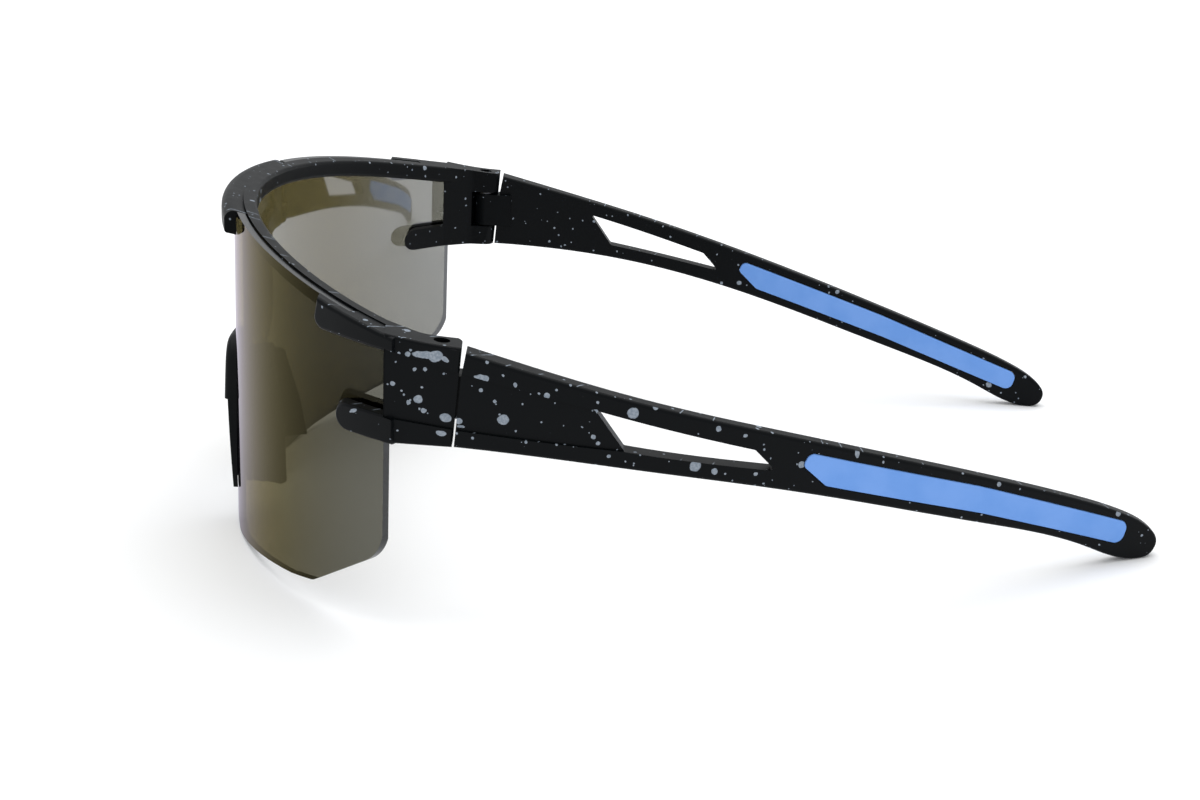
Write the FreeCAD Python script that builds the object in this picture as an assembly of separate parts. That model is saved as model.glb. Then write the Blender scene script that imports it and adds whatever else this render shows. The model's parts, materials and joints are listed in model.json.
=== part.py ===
import FreeCAD, Part
import math
import os

# Wraparound sport sunglasses: one cylindrical shield lens hung in a brow frame, two folding temples
# on screw hinges, a nose piece clipped into the lens, and rubber grips moulded through the temples.
# Millimetres. +X is the wearer's left, the lens faces -Y, the temples run back along +Y, +Z is up.
# Everything is drawn with the lens standing upright, then tilted onto the surface that the glasses
# stand on: they rest on the two lower lobes of the lens and on the two temple tips.

Vec = FreeCAD.Vector

# ---- shield lens ----
LENS_RADIUS = 82.5
LENS_THICK = 1.4
LENS_FRONT_Y = -33.8
LENS_HALF_ANGLE = 53.7
LENS_TOP_DROP = 0.35
LENS_LOBE_Z = -40.0
LENS_HINGE_SIDE_Z = -20.0
NOTCH_TOP_Z = -13.5
NOTCH_HALF_TOP = 3.0
NOTCH_HALF_FOOT = 18.6
NOTCH_FOOT_Z = -46.0
NOTCH_ROUND = 2.6
NOTCH_ROUND_GROWTH = 0.8
NOTCH_ROUND_LIMIT = 1.32
LENS_FOOT = [(70.0, -60.0, 0.0), (70.0, -33.0, 0.0), (22.0, LENS_LOBE_Z, 7.0), (15.0, -38.6, 3.0),
             (NOTCH_HALF_TOP, NOTCH_TOP_Z, NOTCH_ROUND)]
LENS_CORNER = [(36.0, -38.0, 0.0), (37.0, -35.97, 0.0), (41.8, -34.75, 4.0), (53.75, -24.6, 7.5),
               (53.75, LENS_HINGE_SIDE_Z, 0.0), (58.0, LENS_HINGE_SIDE_Z, 0.0), (58.0, -60.0, 0.0),
               (36.0, -60.0, 0.0)]
LENS_CORNER_TURN = 45.0
LENS_END_CLEAR = 0.3
FIT_GAP = 0.1

# ---- brow frame ----
BROW_TOP = [(-46.0, 24.2), (-20.0, 18.0), (-2.0, 13.4), (5.0, 12.1), (14.0, 11.4)]
BAR_GAP = 0.3
BAR_THICK = 2.4
BAR_HEIGHT = 3.4
BAR_HALF_ANGLE = 57.0
CLIP_THICK = 2.1
CLIP_ROOF = 1.4
CLIP_SINK = 0.4
CENTRE_CLIP_HALF_ANGLE = 16.5
CENTRE_CLIP_DROP = 4.6
SIDE_ROOF_ANGLE = 48.5
SIDE_CLIP_ANGLE = 56.0
BAR_ROUND = 0.7
HOOK_TOP_ROUND = 1.5
HOOK_ROUND = 0.6
HOOK_OVERLAP = 0.5
SIDE_CLIP_START = 40.0
SIDE_CLIP_OUTLINE = [(-10.3, 22.0, 0.0), (-12.3, 10.5, 1.8), (2.0, 10.0, 0.0), (2.0, 22.0, 0.0)]

# ---- end pieces and hinges ----
END_FRONT_X = 69.4
END_REAR_X = 70.6
END_INNER_X = 65.0
END_BOTTOM_Z = -4.7
END_REAR_Y_TOP = 11.9
END_REAR_Y_BOTTOM = 10.75
END_TOP_Z = 11.6
END_LENGTH = 14.0
END_PLAN = [(61.9, -0.3, 0.0), (END_FRONT_X, 0.0, 0.0), (END_REAR_X, END_LENGTH, 0.0),
            (END_INNER_X, END_LENGTH, 0.0), (END_INNER_X, 5.5, 3.0)]
END_PANEL = [(0.0, 10.6), (0.0, -0.5), (13.0, -2.0), (13.0, 7.05)]
TEMPLE_GAP = 0.35
TEMPLE_GAP_TOP = 0.85
TEMPLE_GAP_TURN_Z = 6.5
PANEL_DEPTH = 0.45
END_ROUND = 0.45
FORK_FRONT_Y = -8.1
FORK_REAR_Y = 3.0
FORK_TOP_Z = -0.2
FORK_ROUND = 2.1
FORK_DEPTH = 1.9
FORK_START = 44.0
HINGE_X = 67.1
HINGE_Y = 8.7
TONGUE_RADIUS = 2.1
TONGUE_LOW_Z = -0.3
TONGUE_HIGH_Z = 6.6
SLOT_CLEAR = 0.3
SLOT_FRONT_Y = 5.8
SLOT_OUTER_X = 69.5
SLOT_INNER_X = 55.0
SLOT_ROUND = 2.0
WASHER_THICK = 0.3
WASHER_INSET = 0.2
SCREW_RADIUS = 0.7
SCREW_HEAD_RADIUS = 1.0
SCREW_HEAD_HEIGHT = 0.9
SCREW_RECESS_RADIUS = 1.3
SCREW_RECESS_DEPTH = 2.4
SCREW_POCKET_RADIUS = 1.03
SCREW_POCKET_HEIGHT = 1.0
SCREW_SLOT_LONG = 3.0
SCREW_SLOT_WIDE = 0.3
SCREW_SLOT_DEEP = 0.4
SCREW_STOP = 0.3
NUT_RADIUS = 1.6
NUT_LENGTH = 3.0
PRESS_CLEAR = 0.02
PIVOT_CLEAR = 0.05
SWING_CLEAR = 0.35

# ---- temples: outlines from the side (Y, Z), and the outer face from above (Y, X) ----
TEMPLE_SIDE = [(-2.0, 14.5), (13.5, 10.5), (31.7, 5.8), (60.6, -1.5), (92.1, -10.2), (114.0, -16.9),
               (125.5, -21.1), (130.4, -23.9), (132.3, -26.6), (131.3, -29.0), (128.6, -29.7),
               (118.7, -26.6), (98.2, -20.2), (66.1, -12.0), (37.0, -6.95), (-2.0, -4.3)]
TEMPLE_OUTER = [(5.0, 70.2), (24.0, 71.0), (42.0, 70.1), (60.0, 66.4), (95.0, 55.0), (136.0, 41.6)]
TEMPLE_THICK = [(5.0, 5.2), (24.0, 4.0), (42.0, 3.2), (60.0, 3.1), (95.0, 3.0), (136.0, 2.8)]
TEMPLE_BREAKS = (0, 6, 8, 10, -1)
TEMPLE_ROUND = 0.6
WEB_REAR_Y = 14.5
TEMPLE_PANEL = [(5.0, 9.1), (32.6, 2.6), (37.5, -4.1), (5.0, -1.2)]
WINDOW = [(32.6, 2.6, 0.25), (37.5, -4.1, 0.4), (61.8, -7.9, 0.3), (58.2, -4.2, 0.8)]
GRIP = [(67.2, -5.2, 1.2), (66.2, -7.3, 1.0), (70.3, -11.0, 1.2), (98.0, -18.2, 60.0),
        (125.3, -26.6, 1.6), (126.3, -22.6, 1.6), (97.4, -13.4, 60.0)]
GRIP_PROUD = 0.25
GRIP_CLEAR = 0.12

# ---- nose piece ----
NOSE_PLATE_GROW = 5.4
NOSE_PLATE_PROUD = 2.3
NOSE_PLATE_ROUND = 1.2
NOSE_STEP_Z = -18.3
NOSE_LEG_PROUD = 1.7
NOSE_FOOT_PROUD = 0.8
NOSE_FOOT_Z = -33.0
NOSE_RIM = 1.2
NOSE_FLANGE_THICK = 1.2
NOSE_FLANGE_GROW = 2.2
NOSE_HALF_ANGLE = 25.0
SADDLE_GROW = 2.6
SADDLE_THICK = 2.4
SADDLE_LIP = 1.0
PAD_THICK = 2.2
PAD_SECTIONS = [(-13.0, (3.2, -30.2), (5.0, -26.6)), (-24.0, (6.6, -30.2), (9.4, -24.4)),
                (NOSE_FOOT_Z - 0.4, (10.2, -30.0), (13.4, -23.4))]

LENS_AXIS_Y = LENS_FRONT_Y + LENS_RADIUS
LENS_INNER = LENS_RADIUS - LENS_THICK
BAR_OUTER = LENS_INNER - BAR_GAP
BAR_INNER = BAR_OUTER - BAR_THICK
CLIP_INNER = LENS_RADIUS + FIT_GAP
CLIP_OUTER = CLIP_INNER + CLIP_THICK

# ---- how far construction solids run past what they cut, and what counts as a long edge ----
WIDE = 90.0
DEEP = -60.0
HIGH = 40.0
PAST = 1.0
FAR_BACK = 200.0
LONG_EDGE = 20.0
NEAR = 0.1
LEVELLING_PASSES = 6


# ---- shared construction helpers ----

def rounded_wire(corners, place):
    """Closed wire through (a, b, radius) corners, rounded by arcs; place maps (a, b) to space."""
    count = len(corners)
    starts = []
    arcs = []
    for index in range(count):
        before = FreeCAD.Vector(*corners[index - 1][:2], 0)
        here = FreeCAD.Vector(*corners[index][:2], 0)
        after = FreeCAD.Vector(*corners[(index + 1) % count][:2], 0)
        radius = corners[index][2]
        to_before = (before - here).normalize()
        to_after = (after - here).normalize()
        half = to_before.getAngle(to_after) / 2
        reach = radius / math.tan(half)
        middle = (to_before + to_after).normalize()
        centre = here + middle * (radius / math.sin(half))
        starts.append((here + to_before * reach, here + to_after * reach))
        arcs.append(centre - middle * radius)
    edges = []
    for index in range(count):
        arc_from, arc_to = starts[index]
        next_from = starts[(index + 1) % count][0]
        if corners[index][2] > 0:
            arc = Part.Arc(place(arc_from.x, arc_from.y), place(arcs[index].x, arcs[index].y),
                           place(arc_to.x, arc_to.y))
            edges.append(arc.toShape())
        if (next_from - arc_to).Length > 1e-4:
            straight = Part.LineSegment(place(arc_to.x, arc_to.y), place(next_from.x, next_from.y))
            edges.append(straight.toShape())
    return Part.Wire(edges)


def side_point(y, z):
    return Vec(0, y, z)


def side_prism(corners, x_from, x_to):
    """Solid whose outline is drawn from the side, in (Y, Z, corner radius), between two X planes."""
    face = Part.Face(rounded_wire(corners, side_point))
    face.translate(Vec(x_from, 0, 0))
    return face.extrude(Vec(x_to - x_from, 0, 0))


def front_prism(corners, y_from=DEEP, y_to=0.0):
    """Solid whose outline is drawn from the front, in (X, Z, corner radius), between two Y planes."""
    face = Part.Face(rounded_wire(corners, lambda x, z: Vec(x, y_from, z)))
    return face.extrude(Vec(0, y_to - y_from, 0))


def plan_prism(corners, z_from=DEEP, z_to=HIGH):
    """Solid whose outline is drawn from above, in (X, Y, corner radius), between two heights."""
    face = Part.Face(rounded_wire(corners, lambda x, y: Vec(x, y, z_from)))
    return face.extrude(Vec(0, 0, z_to - z_from))


def sharp(points):
    return [(a, b, 0.0) for a, b in points]


def spline(points, place):
    curve = Part.BSplineCurve()
    curve.interpolate([place(a, b) for a, b in points])
    return curve.toShape()


def ring(r_in, r_out, deg_from, deg_to, z_from=DEEP, z_to=HIGH):
    """Sector of a tube on the lens axis; angles run from straight ahead (-Y) towards the wearer's left."""
    centre = Vec(0, LENS_AXIS_Y, z_from)
    sweep = deg_to - deg_from
    outer = Part.makeCylinder(r_out, z_to - z_from, centre, Vec(0, 0, 1), sweep)
    inner = Part.makeCylinder(r_in, z_to - z_from, centre, Vec(0, 0, 1), 360)
    sector = outer.cut(inner)
    sector.rotate(centre, Vec(0, 0, 1), deg_from - 90)
    return sector


def brow_band(top_drop, bottom_drop):
    """Everything between two copies of the brow's top line, lowered by two distances."""
    top = spline([(y, z - top_drop) for y, z in BROW_TOP], side_point)
    bottom = spline([(y, z - bottom_drop) for y, z in BROW_TOP], side_point)
    first = BROW_TOP[0]
    last = BROW_TOP[-1]
    front = Part.LineSegment(side_point(first[0], first[1] - bottom_drop),
                             side_point(first[0], first[1] - top_drop))
    rear = Part.LineSegment(side_point(last[0], last[1] - top_drop),
                            side_point(last[0], last[1] - bottom_drop))
    face = Part.Face(Part.Wire([front.toShape(), top, rear.toShape(), bottom]))
    face.translate(Vec(-WIDE, 0, 0))
    return face.extrude(Vec(2 * WIDE, 0, 0))


def softened(shape, radius, chosen):
    """The shape with a rounded edge wherever chosen(edge) is true."""
    return shape.makeFillet(radius, [edge for edge in shape.Edges if chosen(edge)])


def on_radius(edge, radius):
    """True where an edge lies on a cylinder about the lens axis."""
    first = edge.FirstParameter
    span = edge.LastParameter - first
    points = [edge.valueAt(first + span * share) for share in (0.1, 0.5, 0.9)]
    return all(abs(math.hypot(point.x, point.y - LENS_AXIS_Y) - radius) < 0.02 for point in points)


def mirrored(shape):
    return shape.mirror(Vec(0, 0, 0), Vec(1, 0, 0))


def hinge_cylinder(radius, z_from, z_to):
    return Part.makeCylinder(radius, z_to - z_from, Vec(HINGE_X, HINGE_Y, z_from), Vec(0, 0, 1))


def notch_outline(grow, foot_z=NOTCH_FOOT_Z - 4.0):
    """Inverted U of the nose cut-out, grown outwards by a distance, as front-view corners."""
    lean = (NOTCH_HALF_FOOT - NOTCH_HALF_TOP) / (NOTCH_TOP_Z - NOTCH_FOOT_Z)
    sideways = grow * math.hypot(1, lean)
    top_z = NOTCH_TOP_Z + grow
    top_half = NOTCH_HALF_TOP + sideways - lean * grow
    foot_half = top_half + lean * (top_z - foot_z)
    corner = min(NOTCH_ROUND + NOTCH_ROUND_GROWTH * grow, NOTCH_ROUND_LIMIT * top_half)
    return [(-foot_half, foot_z, 0.0), (-top_half, top_z, corner), (top_half, top_z, corner),
            (foot_half, foot_z, 0.0)]


# ---- shield lens: one curved sheet, notched over the nose, its corners cut back ----

def make_lens():
    sheet = ring(LENS_INNER, LENS_RADIUS, -LENS_HALF_ANGLE, LENS_HALF_ANGLE)
    sheet = sheet.common(brow_band(LENS_TOP_DROP, WIDE))
    roofed = brow_band(-5 * PAST, CLIP_ROOF + FIT_GAP)
    reach = CENTRE_CLIP_HALF_ANGLE + LENS_END_CLEAR
    under_centre = ring(LENS_INNER - PAST, LENS_RADIUS + PAST, -reach, reach)
    sheet = sheet.cut(under_centre.common(roofed))
    right_foot = [(-x, z, radius) for x, z, radius in LENS_FOOT]
    sheet = sheet.cut(front_prism(right_foot + LENS_FOOT[::-1]))
    for side in (1, -1):
        under_side = ring(LENS_INNER - PAST, LENS_RADIUS + PAST, SIDE_ROOF_ANGLE - LENS_END_CLEAR,
                          LENS_HALF_ANGLE + PAST)
        corner = corner_waste()
        if side < 0:
            under_side = mirrored(under_side)
            corner = mirrored(corner)
        sheet = sheet.cut(under_side.common(roofed)).cut(corner)
    return sheet


def corner_waste():
    """What is cut from the lens below its outer corner: (degrees round, Z, corner radius) points."""
    turn = math.radians(LENS_CORNER_TURN)
    corners = [(LENS_RADIUS * math.sin(math.radians(angle) - turn), z, radius)
               for angle, z, radius in LENS_CORNER]

    def place(s, z):
        return Vec(s * math.cos(turn), LENS_AXIS_Y + s * math.sin(turn), z)

    face = Part.Face(rounded_wire(corners, place))
    outward = Vec(math.sin(turn), -math.cos(turn), 0)
    return face.extrude(outward * (LENS_RADIUS + 10 * PAST))


# ---- brow frame: bar behind the lens, hooks over its top edge, and the two end pieces ----

def rear_cut(shift):
    """Everything behind the slanted rear face of the end piece, moved back by a distance."""
    slope = (END_REAR_Y_TOP - END_REAR_Y_BOTTOM) / (END_TOP_Z - END_BOTTOM_Z)
    top_y = END_REAR_Y_TOP + slope * (HIGH - END_TOP_Z) + shift
    low_y = END_REAR_Y_TOP + slope * (DEEP - END_TOP_Z) + shift
    outline = sharp([(low_y, DEEP), (top_y, HIGH), (FAR_BACK, HIGH), (FAR_BACK, DEEP)])
    return side_prism(outline, -WIDE, WIDE)


def swing_waste():
    """What the end piece must lose behind the pin, on the side the temple's shoulder swings past."""
    slope = (END_REAR_Y_TOP - END_REAR_Y_BOTTOM) / (END_TOP_Z - END_BOTTOM_Z)
    low_z = END_BOTTOM_Z - PAST
    high_z = END_TOP_Z + 3 * PAST
    reach = END_REAR_Y_BOTTOM - HINGE_Y + TEMPLE_GAP - SWING_CLEAR
    low_radius = reach - slope * PAST
    high_radius = reach + slope * (high_z - END_BOTTOM_Z)
    foot = Vec(HINGE_X, HINGE_Y, low_z)
    knuckle = Part.makeCone(low_radius, high_radius, high_z - low_z, foot, Vec(0, 0, 1))
    side = 10 * PAST
    corner = Part.makeBox(side, side, high_z - low_z, foot - Vec(side, 0, 0))
    return corner.cut(knuckle)


def make_end_piece():
    """Left end piece: the block that carries the hinge, and the fork that grips the lens below it."""
    block = plan_prism(END_PLAN).common(brow_band(0, WIDE)).cut(rear_cut(0))
    above_foot = sharp([(-PAST, END_BOTTOM_Z), (FAR_BACK, END_BOTTOM_Z), (FAR_BACK, HIGH), (-PAST, HIGH)])
    block = block.common(side_prism(above_foot, 0, WIDE))
    block = softened(block, END_ROUND, lambda edge: edge.BoundBox.XMin > END_FRONT_X - NEAR)
    block = block.cut(swing_waste())
    fork_side = [(FORK_FRONT_Y, END_BOTTOM_Z, FORK_ROUND), (FORK_REAR_Y, END_BOTTOM_Z, 0.0),
                 (FORK_REAR_Y, FORK_TOP_Z, 0.0), (FORK_FRONT_Y, FORK_TOP_Z, FORK_ROUND)]
    fork = ring(BAR_OUTER - FORK_DEPTH, CLIP_OUTER, FORK_START, SIDE_CLIP_ANGLE)
    fork = fork.common(side_prism(fork_side, 0, WIDE))
    fork = softened(fork, END_ROUND, lambda edge: on_radius(edge, CLIP_OUTER) and edge.BoundBox.YMin < PAST)
    clip = ring(CLIP_INNER, CLIP_OUTER, SIDE_CLIP_START, SIDE_CLIP_ANGLE)
    clip = clip.common(side_prism(SIDE_CLIP_OUTLINE, 0, WIDE)).common(brow_band(CLIP_SINK / 2, WIDE))
    roof = ring(BAR_OUTER - HOOK_OVERLAP, CLIP_OUTER, SIDE_ROOF_ANGLE, SIDE_CLIP_ANGLE)
    roof = roof.common(brow_band(CLIP_SINK / 2, CLIP_ROOF))
    clip = softened(clip.fuse(roof).removeSplitter(), HOOK_ROUND,
                    lambda edge: on_radius(edge, CLIP_OUTER) and edge.BoundBox.YMin < -PAST)
    lens_slot = ring(BAR_OUTER, CLIP_INNER, SIDE_CLIP_START, LENS_HALF_ANGLE + LENS_END_CLEAR)
    under_roof = lens_slot.common(brow_band(CLIP_ROOF, WIDE))
    return block.fuse([fork, clip]).cut(under_roof)


def panel_cut(outline, outer_line):
    """Shallow panel sunk in the outer face: side outline, then the outer face's (X, Y) line."""
    (x_a, y_a), (x_b, y_b) = outer_line
    skin = sharp([(x_a - PANEL_DEPTH, y_a), (x_a + PAST, y_a), (x_b + PAST, y_b), (x_b - PANEL_DEPTH, y_b)])
    return side_prism(sharp(outline), 0, WIDE).common(plan_prism(skin))


def cut_hinge_pocket(solid):
    """Slot for the temple's tongue, and the stepped hole for the hinge screw and its nut."""
    slot_low = TONGUE_LOW_Z - SLOT_CLEAR
    slot_high = TONGUE_HIGH_Z + SLOT_CLEAR + WASHER_THICK
    slot_outline = [(SLOT_INNER_X, SLOT_FRONT_Y, 0.0), (SLOT_OUTER_X, SLOT_FRONT_Y, SLOT_ROUND),
                    (SLOT_OUTER_X, FAR_BACK, 0.0), (SLOT_INNER_X, FAR_BACK, 0.0)]
    slot = plan_prism(slot_outline, slot_low, slot_high)
    seat_z = END_TOP_Z - SCREW_RECESS_DEPTH
    pocket = hinge_cylinder(SCREW_POCKET_RADIUS, seat_z, seat_z + SCREW_POCKET_HEIGHT)
    recess = hinge_cylinder(SCREW_RECESS_RADIUS, seat_z + SCREW_POCKET_HEIGHT, HIGH)
    shank = hinge_cylinder(SCREW_RADIUS + PIVOT_CLEAR, slot_low - PAST, END_TOP_Z)
    nut = hinge_cylinder(NUT_RADIUS + PRESS_CLEAR, END_BOTTOM_Z - PAST, END_BOTTOM_Z + NUT_LENGTH)
    core = hinge_cylinder(SCREW_RADIUS + PIVOT_CLEAR, END_BOTTOM_Z, slot_low)
    return solid.cut(slot).cut(pocket).cut(recess).cut(shank).cut(nut).cut(core)


def make_brow_frame():
    bar = ring(BAR_INNER, BAR_OUTER, -BAR_HALF_ANGLE, BAR_HALF_ANGLE).common(brow_band(0, BAR_HEIGHT))
    bar = softened(bar, BAR_ROUND, lambda edge: on_radius(edge, BAR_INNER) and edge.Length > LONG_EDGE)
    reach = CENTRE_CLIP_HALF_ANGLE
    roof = ring(BAR_OUTER - HOOK_OVERLAP, CLIP_OUTER, -reach, reach).common(brow_band(CLIP_SINK, CLIP_ROOF))
    lip = ring(CLIP_INNER, CLIP_OUTER, -reach, reach).common(brow_band(CLIP_SINK, CENTRE_CLIP_DROP))
    hook = roof.fuse(lip).removeSplitter()
    top_z = BROW_TOP[1][1]
    hook = softened(hook, HOOK_TOP_ROUND, lambda edge: on_radius(edge, CLIP_OUTER)
                    and edge.BoundBox.ZMax > top_z and edge.Length > LONG_EDGE)
    hook = softened(hook, HOOK_ROUND, lambda edge: on_radius(edge, CLIP_OUTER)
                    and edge.BoundBox.ZMax < top_z and edge.Length > LONG_EDGE)
    end = make_end_piece().cut(panel_cut(END_PANEL, [(END_FRONT_X, 0.0), (END_REAR_X, END_LENGTH)]))
    end = cut_hinge_pocket(end)
    frame = bar.fuse([hook, end, mirrored(end)])
    return frame.removeSplitter()


# ---- temples: flat-sided arms, curved in towards the head, with a window and a rubber grip ----

def temple_shell(outer_extra, inner_extra):
    """The arm's full thickness as seen from above, from outer face to inner face."""
    outer = [(x + outer_extra, y) for y, x in TEMPLE_OUTER]
    inner = [(x - t - inner_extra, y) for (y, x), (_, t) in zip(TEMPLE_OUTER, TEMPLE_THICK)]
    outer_edge = spline(outer, lambda x, y: Vec(x, y, DEEP))
    inner_edge = spline(inner, lambda x, y: Vec(x, y, DEEP))
    front = Part.LineSegment(Vec(*inner[0], DEEP), Vec(*outer[0], DEEP)).toShape()
    rear = Part.LineSegment(Vec(*outer[-1], DEEP), Vec(*inner[-1], DEEP)).toShape()
    return Part.Face(Part.Wire([front, outer_edge, rear, inner_edge])).extrude(Vec(0, 0, HIGH - DEEP))


def make_temple():
    outline = Part.BSplineCurve()
    outline.interpolate([side_point(y, z) for y, z in TEMPLE_SIDE])
    breaks = [outline.parameter(side_point(*TEMPLE_SIDE[index])) for index in TEMPLE_BREAKS]
    edges = [outline.toShape(start, end) for start, end in zip(breaks, breaks[1:])]
    front = Part.LineSegment(side_point(*TEMPLE_SIDE[-1]), side_point(*TEMPLE_SIDE[0])).toShape()
    side = Part.Face(Part.Wire(edges + [front])).extrude(Vec(WIDE, 0, 0))
    arm = side.common(temple_shell(0, 0))
    arm = softened(arm, TEMPLE_ROUND, lambda edge: edge.BoundBox.YLength > PAST)
    arm = arm.common(rear_cut(TEMPLE_GAP))
    slope = (END_REAR_Y_TOP - END_REAR_Y_BOTTOM) / (END_TOP_Z - END_BOTTOM_Z)
    turn_y = END_REAR_Y_TOP + slope * (TEMPLE_GAP_TURN_Z - END_TOP_Z) + TEMPLE_GAP
    top_y = END_REAR_Y_TOP + TEMPLE_GAP_TOP
    wedge = sharp([(turn_y, TEMPLE_GAP_TURN_Z), (top_y, END_TOP_Z), (0.0, END_TOP_Z)])
    arm = arm.cut(side_prism(wedge, 0, WIDE))
    arm = arm.cut(side_prism(WINDOW, 0, WIDE))
    grip_hole = Part.Face(rounded_wire(GRIP, side_point).makeOffset2D(GRIP_CLEAR))
    arm = arm.cut(grip_hole.extrude(Vec(WIDE, 0, 0)))
    panel = side_prism(sharp(TEMPLE_PANEL), 0, WIDE)
    arm = arm.cut(panel.cut(temple_shell(-PANEL_DEPTH, 10 * PAST)))
    tongue = hinge_cylinder(TONGUE_RADIUS, TONGUE_LOW_Z, TONGUE_HIGH_Z)
    web = Part.makeBox(2 * TONGUE_RADIUS, WEB_REAR_Y - HINGE_Y, TONGUE_HIGH_Z - TONGUE_LOW_Z,
                       Vec(HINGE_X - TONGUE_RADIUS, HINGE_Y, TONGUE_LOW_Z))
    arm = arm.fuse([tongue, web])
    return arm.cut(hinge_cylinder(SCREW_RADIUS + PIVOT_CLEAR, DEEP, HIGH)).removeSplitter()


def make_grip():
    """Soft grip moulded through the arm, standing a little proud of both faces."""
    outline = Part.Face(rounded_wire(GRIP, side_point)).extrude(Vec(WIDE, 0, 0))
    return outline.common(temple_shell(GRIP_PROUD, GRIP_PROUD))


# ---- hinge hardware: one screw, its washer, and the threaded nut in the lower lug ----

def make_screw():
    head_top = END_TOP_Z - SCREW_RECESS_DEPTH + SCREW_HEAD_HEIGHT
    head = hinge_cylinder(SCREW_HEAD_RADIUS, head_top - SCREW_HEAD_HEIGHT, head_top)
    shank = hinge_cylinder(SCREW_RADIUS, END_BOTTOM_Z + SCREW_STOP, head_top - NEAR)
    slot = Part.makeBox(SCREW_SLOT_LONG, SCREW_SLOT_WIDE, SCREW_SLOT_DEEP,
                        Vec(HINGE_X - SCREW_SLOT_LONG / 2, HINGE_Y - SCREW_SLOT_WIDE / 2,
                            head_top - SCREW_SLOT_DEEP))
    return head.fuse(shank).removeSplitter().cut(slot)


def make_nut():
    body = hinge_cylinder(NUT_RADIUS, END_BOTTOM_Z, END_BOTTOM_Z + NUT_LENGTH)
    return body.cut(hinge_cylinder(SCREW_RADIUS + PRESS_CLEAR, END_BOTTOM_Z - PAST, END_TOP_Z))


def make_washer():
    low = TONGUE_HIGH_Z + SLOT_CLEAR / 2
    outer = hinge_cylinder(TONGUE_RADIUS - WASHER_INSET, low, low + WASHER_THICK)
    return outer.cut(hinge_cylinder(SCREW_RADIUS + PIVOT_CLEAR, DEEP, HIGH))


# ---- nose piece: a stiff clip gripping the notch of the lens, and soft pads behind it ----

def nose_band(r_in, r_out):
    return ring(r_in, r_out, -NOSE_HALF_ANGLE, NOSE_HALF_ANGLE)


def above(z):
    """Everything in front of the head and above a height."""
    return front_prism(sharp([(-WIDE, z), (WIDE, z), (WIDE, HIGH), (-WIDE, HIGH)]))


def make_nose_clip():
    plate_radius = CLIP_INNER + NOSE_PLATE_PROUD
    outline = front_prism(notch_outline(NOSE_PLATE_GROW))
    upper = outline.common(nose_band(CLIP_INNER, plate_radius)).common(above(NOSE_STEP_Z))
    upper = softened(upper, NOSE_PLATE_ROUND, lambda edge: on_radius(edge, plate_radius)
                     and edge.BoundBox.ZMax > NOSE_STEP_Z + NEAR)
    leg_cone = Part.makeCone(CLIP_INNER + NOSE_FOOT_PROUD, CLIP_INNER + NOSE_LEG_PROUD,
                             NOSE_STEP_Z - NOSE_FOOT_Z, Vec(0, LENS_AXIS_Y, NOSE_FOOT_Z), Vec(0, 0, 1))
    core = Part.makeCylinder(CLIP_INNER, HIGH - DEEP, Vec(0, LENS_AXIS_Y, DEEP))
    legs = outline.common(leg_cone).cut(core)
    inner_face = LENS_INNER - FIT_GAP
    back_face = inner_face - NOSE_FLANGE_THICK
    web = front_prism(notch_outline(-FIT_GAP))
    web = web.common(nose_band(back_face, CLIP_INNER + NOSE_FOOT_PROUD / 2))
    flange = front_prism(notch_outline(NOSE_FLANGE_GROW)).common(nose_band(back_face, inner_face))
    hollow = front_prism(notch_outline(-NOSE_RIM - FIT_GAP))
    return upper.fuse([legs, web, flange]).cut(hollow).common(above(NOSE_FOOT_Z)).removeSplitter()


def pad_solid():
    """Left nose pad: a plate that leans out and back from its top to its foot."""
    sections = []
    for z, front, rear in PAD_SECTIONS:
        direction = (Vec(*rear, 0) - Vec(*front, 0)).normalize()
        outward = Vec(direction.y, -direction.x, 0) * PAD_THICK
        corners = [Vec(*front, z), Vec(*rear, z), Vec(*rear, z) + outward, Vec(*front, z) + outward]
        sections.append(Part.makePolygon(corners + corners[:1]))
    return Part.makeLoft(sections, True, True)


def make_nose_saddle():
    outer_face = LENS_INNER - 2 * FIT_GAP - NOSE_FLANGE_THICK
    arch = front_prism(notch_outline(SADDLE_GROW, NOSE_FOOT_Z))
    arch = arch.cut(front_prism(notch_outline(-SADDLE_LIP)))
    arch = arch.common(nose_band(outer_face - SADDLE_THICK, outer_face))
    pad = pad_solid().common(nose_band(LENS_RADIUS / 2, outer_face))
    return arch.fuse([pad, mirrored(pad)]).removeSplitter()


# ---- standing pose: tilt everything so that lens lobes and temple tips share one level ----

def lowest(shape):
    return shape.optimalBoundingBox().ZMin


def standing_tilt(lens, temple):
    """Degrees about +X that bring the lens's lobes and the temple's tip to the same height."""
    tilt = 0.0
    span = max(y for y, _ in TEMPLE_SIDE) - LENS_FRONT_Y
    for _ in range(LEVELLING_PASSES):
        tilted = [shape.copy() for shape in (lens, temple)]
        for shape in tilted:
            shape.rotate(Vec(0, 0, 0), Vec(1, 0, 0), tilt)
        difference = lowest(tilted[1]) - lowest(tilted[0])
        tilt -= math.degrees(math.atan(difference / span))
    return tilt


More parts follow.
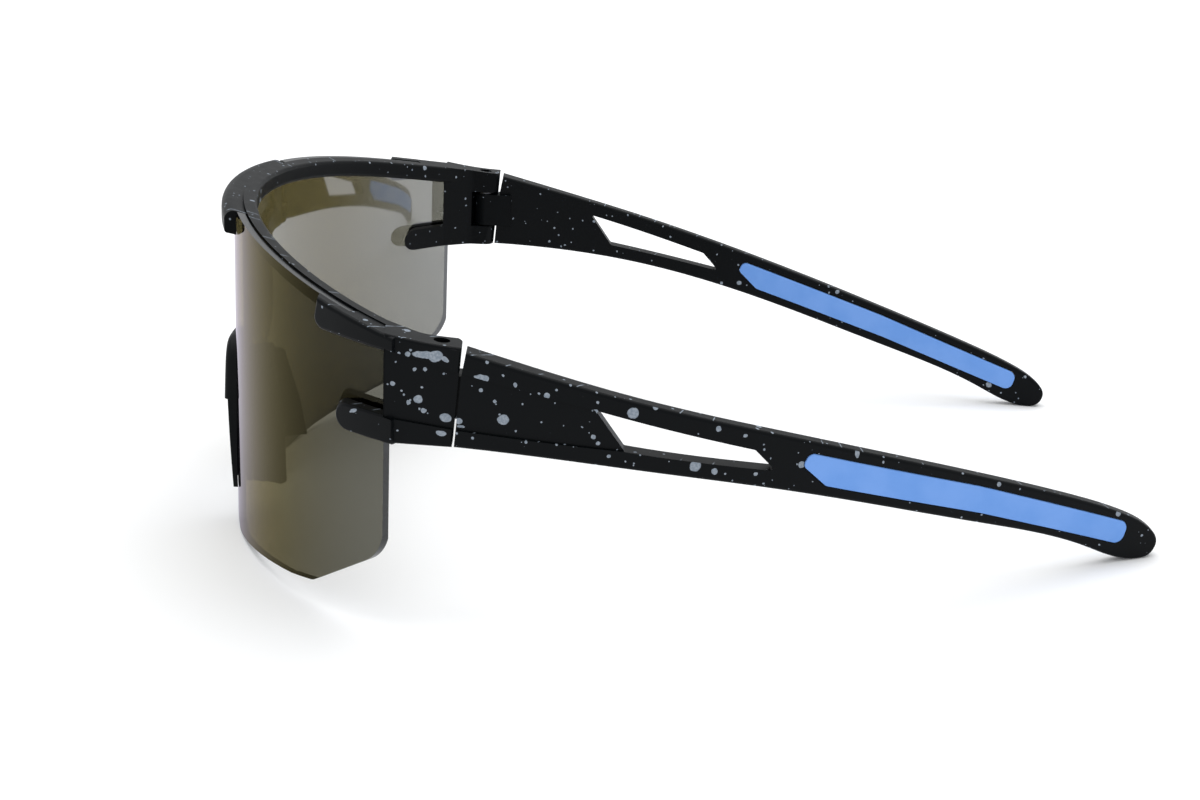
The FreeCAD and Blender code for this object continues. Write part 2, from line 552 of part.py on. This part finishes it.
def main():
    left = {
        "temple": make_temple(),
        "temple_grip": make_grip(),
        "hinge_screw": make_screw(),
        "hinge_nut": make_nut(),
        "hinge_washer": make_washer(),
    }
    nodes = {
        "brow_frame": make_brow_frame(),
        "shield_lens": make_lens(),
        "nose_clip": make_nose_clip(),
        "nose_saddle": make_nose_saddle(),
    }
    for name, shape in left.items():
        nodes[name + "_left"] = shape
        nodes[name + "_right"] = mirrored(shape)
    tilt = standing_tilt(nodes["shield_lens"], nodes["temple_left"])
    for shape in nodes.values():
        shape.rotate(Vec(0, 0, 0), Vec(1, 0, 0), tilt)
    whole = Part.makeCompound(list(nodes.values())).optimalBoundingBox()
    shift = Vec(0, -(whole.YMin + whole.YMax) / 2, -whole.ZMin)
    for name, shape in nodes.items():
        shape.translate(shift)
        shape.exportStep("parts/" + name + ".step")
        print(name, "solids", len(shape.Solids), "volume", round(shape.Volume, 1))
    print("tilt", round(tilt, 4), "shift", shift)
    return tilt, shift


os.makedirs("parts", exist_ok=True)
placement = main()
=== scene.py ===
import bmesh
import bpy
import json
import math
from mathutils import Matrix, Vector

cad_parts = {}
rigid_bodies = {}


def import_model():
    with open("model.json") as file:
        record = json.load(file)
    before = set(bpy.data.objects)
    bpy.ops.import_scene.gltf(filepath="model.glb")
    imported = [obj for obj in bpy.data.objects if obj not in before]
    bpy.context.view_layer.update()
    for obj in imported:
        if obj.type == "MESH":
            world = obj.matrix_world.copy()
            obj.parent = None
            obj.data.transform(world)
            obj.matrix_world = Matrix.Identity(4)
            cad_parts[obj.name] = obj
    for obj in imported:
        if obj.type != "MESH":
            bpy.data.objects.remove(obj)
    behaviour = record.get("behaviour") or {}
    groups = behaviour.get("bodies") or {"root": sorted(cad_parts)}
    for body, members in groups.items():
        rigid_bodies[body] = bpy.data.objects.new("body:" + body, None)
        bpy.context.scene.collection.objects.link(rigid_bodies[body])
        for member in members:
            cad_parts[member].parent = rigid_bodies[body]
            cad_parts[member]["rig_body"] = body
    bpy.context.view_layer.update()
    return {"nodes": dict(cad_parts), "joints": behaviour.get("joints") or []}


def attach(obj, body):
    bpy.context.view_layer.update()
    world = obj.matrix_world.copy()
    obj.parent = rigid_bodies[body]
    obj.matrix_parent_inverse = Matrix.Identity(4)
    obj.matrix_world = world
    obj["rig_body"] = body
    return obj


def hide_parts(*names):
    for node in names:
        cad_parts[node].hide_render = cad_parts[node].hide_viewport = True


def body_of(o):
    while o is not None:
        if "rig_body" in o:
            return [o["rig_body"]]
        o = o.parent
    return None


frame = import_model()
nodes = frame["nodes"]

# ---- Brow frame ----
# One injection moulding in matt black nylon: a bar behind the lens, three hooks over the lens's top
# edge, and an end piece with a hinge lug and a fork at each side. Grey paint is flicked over it
# before assembly, so dots lie on every face and thin streaks cross the top of the bar.
LENS_RADIUS = 0.0825
AXIS_UPRIGHT = Vector((0, 0.0487, 0))
HINGE_UPRIGHT = Vector((0.0671, 0.0087, 0.0033))
BLACK_PLASTIC = (0.0022, 0.0029, 0.0036, 1)
PAINT = (0.20, 0.235, 0.28, 1)
PAINT_WORN = (0.30, 0.335, 0.38, 1)
# Flicked drops: how far apart, smallest and largest radius in metres, share of places used, seed.
DROPS = [(0.0013, 0.00012, 0.00030, 0.60, 0.31), (0.0036, 0.0003, 0.0007, 0.30, 0.77),
         (0.0120, 0.0006, 0.0010, 0.15, 0.53)]
DROP_EDGE = 0.00006
STREAKS_PER_METRE = 220.0
STREAK_HALF_WIDTH = 0.00013
STREAK_LEAN = 0.35
STREAK_SHARE = 0.5
ARM_DEPTH = 0.004

left_hinge = next(joint for joint in frame["joints"] if joint["name"].startswith("left"))
tilt = math.atan2(-left_hinge["axis"][1], left_hinge["axis"][2])
lean = Matrix.Rotation(tilt, 4, "X")
stand = Matrix.Translation(Vector(left_hinge["pos_m"]) - lean @ HINGE_UPRIGHT) @ lean


class Field:
    """A value that varies over a surface, carried by one output socket of a node tree."""

    def __init__(self, tree, socket):
        self.tree = tree
        self.socket = socket

    def node(self, kind, settings=None, sockets=None, output=0):
        """Adds a node, with its properties and its inputs (numbers, colours or other fields) set."""
        made = self.tree.nodes.new(kind)
        for name, value in (settings or {}).items():
            setattr(made, name, value)
        for name, value in (sockets or {}).items():
            if isinstance(value, Field):
                self.tree.links.new(value.socket, made.inputs[name])
            else:
                made.inputs[name].default_value = value
        return Field(self.tree, made.outputs[output])

    def math(self, operation, *values):
        return self.node("ShaderNodeMath", {"operation": operation}, dict(enumerate(values)))

    def __add__(self, other):
        return self.math("ADD", self, other)

    def __radd__(self, other):
        return self.math("ADD", other, self)

    def __sub__(self, other):
        return self.math("SUBTRACT", self, other)

    def __rsub__(self, other):
        return self.math("SUBTRACT", other, self)

    def __mul__(self, other):
        return self.math("MULTIPLY", self, other)

    def __rmul__(self, other):
        return self.math("MULTIPLY", other, self)

    def __truediv__(self, other):
        return self.math("DIVIDE", self, other)

    def __rtruediv__(self, other):
        return self.math("DIVIDE", other, self)

    def __gt__(self, other):
        return self.math("GREATER_THAN", self, other)

    def __lt__(self, other):
        return self.math("LESS_THAN", self, other)

    def ramp(self, low, high):
        """0 below low, 1 above high, smooth in between."""
        return self.node("ShaderNodeMapRange", {"interpolation_type": "SMOOTHSTEP"},
                         {"Value": self, "From Min": low, "From Max": high})

    def at_least(self, other):
        return self.math("MAXIMUM", self, other)

    def blend(self, below, above):
        """A colour that goes from below to above as this field goes from 0 to 1."""
        mixer = self.tree.nodes.new("ShaderNodeMix")
        mixer.data_type = "RGBA"
        for socket, value in ((mixer.inputs[0], self), (mixer.inputs[6], below), (mixer.inputs[7], above)):
            if isinstance(value, Field):
                self.tree.links.new(value.socket, socket)
            else:
                socket.default_value = value
        return Field(self.tree, mixer.outputs[2])

    def vector(self, operation, other):
        return self.node("ShaderNodeVectorMath", {"operation": operation}, {0: self, 1: other})

    def stretched(self, factors):
        return self.vector("MULTIPLY", factors)

    def parts(self):
        """The three parts of a vector."""
        split = self.tree.nodes.new("ShaderNodeSeparateXYZ")
        self.tree.links.new(self.socket, split.inputs[0])
        return [Field(self.tree, output) for output in split.outputs]

    def noise(self, scale, detail=2.0, output=0):
        return self.node("ShaderNodeTexNoise", sockets={"Vector": self, "Scale": scale, "Detail": detail},
                         output=output)


def new_material(name):
    """An empty material, and the place on the object as its first field."""
    material = bpy.data.materials.new(name)
    material.use_nodes = True
    material.node_tree.nodes.clear()
    place = material.node_tree.nodes.new("ShaderNodeTexCoord").outputs["Object"]
    return material, Field(material.node_tree, place)


def finish_material(material, shader):
    """Joins the finished shader to the material's output and hands the material back."""
    end = material.node_tree.nodes.new("ShaderNodeOutputMaterial")
    material.node_tree.links.new(shader.socket, end.inputs["Surface"])
    return material


def coat(piece, *materials):
    """Gives a piece these materials in place of any it had."""
    piece.data.materials.clear()
    for material in materials:
        piece.data.materials.append(material)


def drops(place, cell, smallest, largest, share, seed):
    """Round paint dots: one at most in each cell, in metres, on this share of the cells."""
    moved = place.vector("ADD", (seed, seed, seed))
    cells = moved.node("ShaderNodeTexVoronoi", {"voronoi_dimensions": "3D"},
                       {"Vector": moved, "Scale": 1 / cell}, output=0)
    chance = Field(place.tree, cells.socket.node.outputs["Color"])
    size, present, _ = chance.parts()
    radius = smallest + (largest - smallest) * size * size
    inside = (radius / cell - cells).ramp(0.0, DROP_EDGE / cell)
    return inside * (present < share)


def facing(place):
    """Which way the surface looks, in the piece's own directions: its three parts."""
    return Field(place.tree, place.socket.node.outputs["Normal"]).parts()


def blot(x, y, z, centre, long_way, short_way, angle):
    """One larger drop on the left side: centre in upright millimetres, half sizes, and lean."""
    spot = stand @ (Vector(centre) / 1000)
    across = (y - spot.y) * math.cos(angle) + (z - spot.z) * math.sin(angle)
    along = (z - spot.z) * math.cos(angle) - (y - spot.y) * math.sin(angle)
    far = across * across / (long_way / 1000) ** 2 + along * along / (short_way / 1000) ** 2
    return (1.0 - far).ramp(0.0, 0.25) * (x > spot.x - ARM_DEPTH)


def speckled_plastic(name, blots):
    """Matt black with flicked paint: random drops and streaks everywhere, and the blots given."""
    material, place = new_material(name)
    wobble = place.noise(900.0, 3.0, output=1).vector("SUBTRACT", (0.5, 0.5, 0.5)).stretched((0.0005,) * 3)
    warped = place.vector("ADD", wobble)
    paint = drops(warped, *DROPS[0])
    for finer_or_coarser in DROPS[1:]:
        paint = paint.at_least(drops(warped, *finer_or_coarser))
    leftward, _, upward = facing(place)
    spots = warped.parts()
    big_drops = blot(*spots, *blots[0])
    for drop in blots[1:]:
        big_drops = big_drops.at_least(blot(*spots, *drop))
    paint = paint.at_least(big_drops * leftward.ramp(0.3, 0.6))
    x, y, _ = place.parts()
    axis = stand @ AXIS_UPRIGHT
    back = y - axis.y
    swing = x.math("ARCTAN2", x, 0.0 - back) * LENS_RADIUS
    reach = x.math("SQRT", x * x + back * back)
    lines = swing + reach * STREAK_LEAN + wobble.parts()[0]
    strokes = place.node("ShaderNodeTexVoronoi", {"voronoi_dimensions": "1D"},
                         {"W": lines, "Scale": STREAKS_PER_METRE})
    rarity = Field(place.tree, strokes.socket.node.outputs["Color"]).parts()[0]
    patchy = place.noise(260.0, 1.0).ramp(0.48, 0.56)
    streak = (STREAK_HALF_WIDTH * STREAKS_PER_METRE - strokes).ramp(0.0, 0.01) * (rarity < STREAK_SHARE)
    paint = paint.at_least(streak * upward.ramp(0.75, 0.9) * patchy)
    mottle = place.noise(2600.0, 3.0)
    colour = paint.blend(BLACK_PLASTIC, mottle.ramp(0.35, 0.7).blend(PAINT, PAINT_WORN))
    grain = place.noise(5200.0, 2.0)
    height = grain * 0.25 + paint
    normal = place.node("ShaderNodeBump", None, {"Strength": 0.35, "Distance": 0.00008, "Height": height})
    rough = 0.36 + place.noise(350.0) * 0.10 + paint * 0.12
    shader = place.node("ShaderNodeBsdfPrincipled", None,
                        {"Base Color": colour, "Roughness": rough, "Specular IOR Level": 0.08,
                         "Normal": normal})
    return finish_material(material, shader)


FRAME_BLOTS = [((69.9, 6.6, 10.0), 2.4, 0.62, -0.10), ((69.9, 8.0, 9.9), 1.2, 0.95, 0.3),
               ((69.9, 9.5, 9.5), 0.7, 0.4, -0.6), ((69.8, 3.7, 10.0), 0.45, 0.45, 0.0),
               ((69.8, 4.8, 7.5), 0.3, 0.3, 0.0), ((69.8, 6.4, 7.6), 0.4, 0.38, 0.0),
               ((69.7, 1.4, 5.0), 0.42, 0.38, 0.0), ((69.8, 5.4, 2.7), 0.72, 0.66, 0.0),
               ((69.8, 6.3, 0.9), 0.48, 0.42, 0.0), ((69.9, 9.7, 0.0), 0.95, 0.7, -0.1),
               ((69.9, 9.1, -2.4), 0.9, 0.45, -0.2), ((66.0, -5.0, -0.9), 0.8, 0.3, 0.5)]
coat(nodes["brow_frame"], speckled_plastic("brow_paint", FRAME_BLOTS))

# ---- Shield lens ----
# A single cylinder of tinted polycarbonate, 1.4 mm thick, cut from a sheet and polished at the rim.
# Its front has a faint mirror coat that turns lilac at a glancing angle; it hooks under the brow.
TINT_CENTRE = (0.078, 0.065, 0.026, 1)
TINT_SIDE = (0.138, 0.137, 0.118, 1)
SIDE_TINT_SPAN = (0.036, 0.068)
FACE_TURN = 0.7
MIRROR_OLIVE = (0.92, 0.80, 0.42, 1)
MIRROR_LILAC = (0.86, 0.80, 0.92, 1)
MIRROR_INSIDE = (0.93, 0.95, 1.0, 1)


def lens_face(name, straight_share, glance_share, mirror, glancing_mirror):
    """One polished face of the lens: the share it reflects straight on, and at a glancing angle."""
    material, place = new_material(name)
    glance = place.node("ShaderNodeLayerWeight", None, {"Blend": 0.5}, output=1)
    steep = glance * glance
    share = straight_share + (glance_share - straight_share) * steep * steep * glance
    x, _, _ = place.parts()
    towards_hinge = x.math("ABSOLUTE", x).ramp(*SIDE_TINT_SPAN)
    centre = place.node("ShaderNodeBsdfTransparent", None, {"Color": TINT_CENTRE})
    side = place.node("ShaderNodeBsdfTransparent", None, {"Color": TINT_SIDE})
    through = place.node("ShaderNodeMixShader", None, {0: towards_hinge, 1: centre, 2: side})
    ripple = place.node("ShaderNodeBump", None,
                        {"Strength": 0.03, "Distance": 0.0001, "Height": place.noise(45.0)})
    straight, skimming = (place.node("ShaderNodeBsdfGlossy", None,
                                     {"Color": colour, "Roughness": 0.04, "Normal": ripple})
                          for colour in (mirror, glancing_mirror))
    back = place.node("ShaderNodeMixShader", None, {0: glance.ramp(0.55, 0.95), 1: straight, 2: skimming})
    seen = place.node("ShaderNodeMixShader", None, {0: share, 1: through, 2: back})
    inside_sheet = place.node("ShaderNodeNewGeometry", output=6)
    clear = place.node("ShaderNodeBsdfTransparent")
    face = place.node("ShaderNodeMixShader", None, {0: inside_sheet, 1: seen, 2: clear})
    return finish_material(material, face)


def polished_rim():
    """The cut edge of the sheet, which looks nearly black."""
    material, place = new_material("lens_rim")
    haze = place.noise(180.0, 2.0)
    colour = haze.ramp(0.3, 0.7).blend((0.016, 0.017, 0.018, 1), (0.026, 0.028, 0.030, 1))
    shader = place.node("ShaderNodeBsdfPrincipled", None,
                        {"Base Color": colour, "Roughness": 0.18 + haze * 0.12, "Specular IOR Level": 0.4})
    return finish_material(material, shader)


lens = nodes["shield_lens"]
coat(lens, lens_face("lens_front", 0.006, 0.75, MIRROR_OLIVE, MIRROR_LILAC),
     lens_face("lens_back", 0.14, 0.8, MIRROR_INSIDE, MIRROR_INSIDE), polished_rim())
lens_axis = stand @ AXIS_UPRIGHT
for polygon in lens.data.polygons:
    outward = Vector((polygon.center.x, polygon.center.y - lens_axis.y, 0)).normalized()
    turned = polygon.normal.dot(outward)
    polygon.material_index = 0 if turned > FACE_TURN else 1 if turned < -FACE_TURN else 2

# ---- Nose clip and saddle ----
# A stiff black clip grips the notch of the lens, and a soft rubber saddle with two splayed pads
# is pushed over its back. Both are moulded, satin outside, and mottled with clouds of painted light.
CLIP_LIT = (0.004, 0.0045, 0.0055, 1)
RUBBER = (0.010, 0.010, 0.011, 1)
# A lit copy of the rubber colour: painted light, blended in random clouds over the saddle.
RUBBER_PAINTED_LIT = (0.014, 0.014, 0.015, 1)


def plain_moulding(name, colour, lit_colour, rough, grain_scale):
    """An unpainted moulding whose colour is blended at random with its lit colour, as clouds of painted
    light, with a fine moulded grain.
    """
    material, place = new_material(name)
    cloud = place.noise(120.0, 3.0)
    normal = place.node("ShaderNodeBump", None,
                        {"Strength": 0.25, "Distance": 0.00006, "Height": place.noise(grain_scale)})
    shader = place.node("ShaderNodeBsdfPrincipled", None,
                        {"Base Color": cloud.ramp(0.35, 0.65).blend(colour, lit_colour),
                         "Roughness": rough + cloud * 0.12, "Specular IOR Level": 0.10, "Normal": normal})
    return finish_material(material, shader)


clip_plastic = plain_moulding("nose_clip_plastic", BLACK_PLASTIC, CLIP_LIT, 0.38, 4200.0)
coat(nodes["nose_clip"], clip_plastic)


def world_copy(node, name):
    """A new object with a CAD piece's shape, which rides on that piece's body and stands for it."""
    mesh = node.data.copy()
    mesh.transform(node.matrix_world)
    piece = bpy.data.objects.new(name, mesh)
    bpy.context.scene.collection.objects.link(piece)
    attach(piece, body_of(node)[0])
    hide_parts(node.name)
    return piece


saddle = world_copy(nodes["nose_saddle"], "soft_nose_saddle")
skin = saddle.modifiers.new("skin", "REMESH")
skin.mode = "VOXEL"
skin.voxel_size = 0.00022
skin.use_smooth_shade = True
softening = saddle.modifiers.new("softening", "SMOOTH")
softening.factor = 0.5
softening.iterations = 10
# The saddle's rubber is mottled with painted light, its colour blended in clouds with a lit copy.
coat(saddle, plain_moulding("nose_rubber", RUBBER, RUBBER_PAINTED_LIT, 0.62, 3000.0))

# ---- Temples ----
# Two long nylon arms, curved in towards the head, with a slanted window and a sunk panel at the
# front. They get the same flicked paint as the brow, most of it near the hinges.
TEMPLE_BLOTS = [((70.4, 15.0, 7.1), 1.1, 0.42, -0.12), ((70.5, 15.7, 6.9), 0.6, 0.55, 0.0),
                ((70.7, 18.6, 0.3), 0.95, 0.88, 0.0), ((71.0, 25.2, 4.7), 0.55, 0.48, 0.0),
                ((70.2, 38.5, 2.3), 0.98, 0.95, 0.0), ((68.6, 48.7, -6.5), 0.98, 0.92, 0.0),
                ((70.3, 11.7, -0.3), 0.6, 0.55, 0.0), ((70.3, 12.1, -1.2), 0.6, 0.25, -0.2),
                ((70.8, 20.3, 6.2), 0.28, 0.4, 0.0), ((70.6, 17.2, 3.2), 0.32, 0.3, 0.0),
                ((70.1, 42.0, 3.3), 0.5, 0.48, 0.0), ((68.9, 47.2, 2.4), 0.5, 0.55, 0.0),
                ((67.5, 52.0, -0.4), 0.48, 0.45, 0.0), ((66.6, 56.4, -1.7), 0.35, 0.33, 0.0),
                ((70.9, 32.6, -1.9), 0.42, 0.4, 0.0), ((70.7, 35.1, -4.8), 0.32, 0.3, 0.0),
                ((61.8, 75.1, -5.8), 0.42, 0.8, 0.0), ((58.0, 86.1, -8.1), 0.6, 0.4, -0.2),
                ((53.0, 100.8, -13.4), 0.42, 0.42, 0.0), ((45.4, 124.1, -20.8), 0.5, 0.5, 0.0)]
arm_paint = speckled_plastic("temple_paint", TEMPLE_BLOTS)
for side in ("left", "right"):
    coat(nodes["temple_" + side], arm_paint)

# ---- Temple grips ----
# Light-blue thermoplastic rubber, moulded through a long slot in each arm, so it shows on both
# faces and stands a quarter of a millimetre proud; matt, with a fine moulded grain.
BLUE = (0.150, 0.325, 0.745, 1)
BLUE_LIT = (0.178, 0.355, 0.78, 1)
RIM_ROUND = 0.00030
RIM_TURN = math.radians(50)
FLAT_ENOUGH = math.radians(1.0)
grip_rubber = plain_moulding("grip_rubber", BLUE, BLUE_LIT, 0.55, 3600.0)
for side in ("left", "right"):
    grip = world_copy(nodes["temple_grip_" + side], "soft_grip_" + side)
    shape = bmesh.new()
    shape.from_mesh(grip.data)
    bmesh.ops.remove_doubles(shape, verts=shape.verts, dist=1e-6)
    bmesh.ops.dissolve_limit(shape, angle_limit=FLAT_ENOUGH, verts=shape.verts, edges=shape.edges)
    rim = [edge for edge in shape.edges if edge.calc_face_angle(0.0) > RIM_TURN]
    bmesh.ops.bevel(shape, geom=rim, offset=RIM_ROUND, segments=4, profile=0.5, affect="EDGES",
                    clamp_overlap=True)
    shape.to_mesh(grip.data)
    shape.free()
    grip.data.shade_smooth()
    coat(grip, grip_rubber)

# ---- Hinge screws, washers and nuts ----
# A slotted screw of blackened steel drops into the recess over each hinge, through a thin washer
# and the temple's tongue, into a turned brass nut pressed into the lower lug.


def turned_metal(name, colour, bright, rough):
    """Bare metal with faint uneven tool marks."""
    material, place = new_material(name)
    rings = place.noise(1400.0, 2.0)
    shader = place.node("ShaderNodeBsdfPrincipled", None,
                        {"Base Color": rings.ramp(0.3, 0.7).blend(colour, bright), "Metallic": 1.0,
                         "Roughness": rough + rings * 0.15})
    return finish_material(material, shader)


blackened = turned_metal("blackened_steel", (0.05, 0.05, 0.055, 1), (0.08, 0.08, 0.085, 1), 0.3)
brass = turned_metal("nut_brass", (0.50, 0.36, 0.15, 1), (0.62, 0.47, 0.22, 1), 0.28)
for side in ("left", "right"):
    coat(nodes["hinge_screw_" + side], blackened)
    coat(nodes["hinge_washer_" + side], blackened)
    coat(nodes["hinge_nut_" + side], brass)

# ---- Studio: floor, light and camera ----
# A plain white floor under a large soft lamp and an even pale sky. The camera stands at the
# wearer's left, above the hinge, placed in the upright frame in metres and then tilted with it.
LAMP_SIDE = 1.6
FLOOR_HALF = 6
floor_mesh = bpy.data.meshes.new("floor")
corners = [(-FLOOR_HALF, -FLOOR_HALF, 0), (FLOOR_HALF, -FLOOR_HALF, 0), (FLOOR_HALF, FLOOR_HALF, 0),
           (-FLOOR_HALF, FLOOR_HALF, 0)]
floor_mesh.from_pydata(corners, [], [(0, 1, 2, 3)])
floor = bpy.data.objects.new("floor", floor_mesh)
bpy.context.scene.collection.objects.link(floor)
floor_material, floor_place = new_material("floor_white")
floor_tone = floor_place.noise(3.0).ramp(0.3, 0.7).blend((0.96, 0.96, 0.96, 1), (0.97, 0.97, 0.97, 1))
floor_shader = floor_place.node("ShaderNodeBsdfPrincipled", None,
                                {"Base Color": floor_tone, "Roughness": 0.9, "Specular IOR Level": 0.1})
coat(floor, finish_material(floor_material, floor_shader))

world = bpy.data.worlds.new("studio")
bpy.context.scene.world = world
world.use_nodes = True
sky = world.node_tree.nodes["Background"]
sky.inputs["Color"].default_value = (0.97, 0.985, 1.0, 1)
sky.inputs["Strength"].default_value = 0.85

lamp_data = bpy.data.lights.new("overhead", "AREA")
lamp_data.shape = "RECTANGLE"
lamp_data.size = LAMP_SIDE
lamp_data.size_y = LAMP_SIDE
lamp_data.energy = 14.0
lamp = bpy.data.objects.new("overhead", lamp_data)
lamp.location = (-0.3, 0.1, 1.4)
lamp.rotation_euler = (0.0, -0.2, 0.0)
bpy.context.scene.collection.objects.link(lamp)

CAMERA_UPRIGHT = Vector((0.33608, 0.02675, 0.09159))
AZIMUTH, ELEVATION, ROLL = (math.radians(angle) for angle in (88.582, 18.21, 2.885))
back = Vector((math.sin(AZIMUTH) * math.cos(ELEVATION), -math.cos(AZIMUTH) * math.cos(ELEVATION),
               math.sin(ELEVATION)))
level = Vector((math.cos(AZIMUTH), math.sin(AZIMUTH), 0))
rise = back.cross(level)
right = math.cos(ROLL) * level + math.sin(ROLL) * rise
up = math.cos(ROLL) * rise - math.sin(ROLL) * level
aim = Matrix((right, up, back)).transposed().to_4x4()
aim.translation = CAMERA_UPRIGHT
camera_data = bpy.data.cameras.new("camera")
camera_data.lens = 54.72
camera_data.clip_start = 0.01
camera = bpy.data.objects.new("camera", camera_data)
camera.matrix_world = stand @ aim
bpy.context.scene.collection.objects.link(camera)
bpy.context.scene.camera = camera
bpy.context.scene.view_settings.view_transform = "Standard"
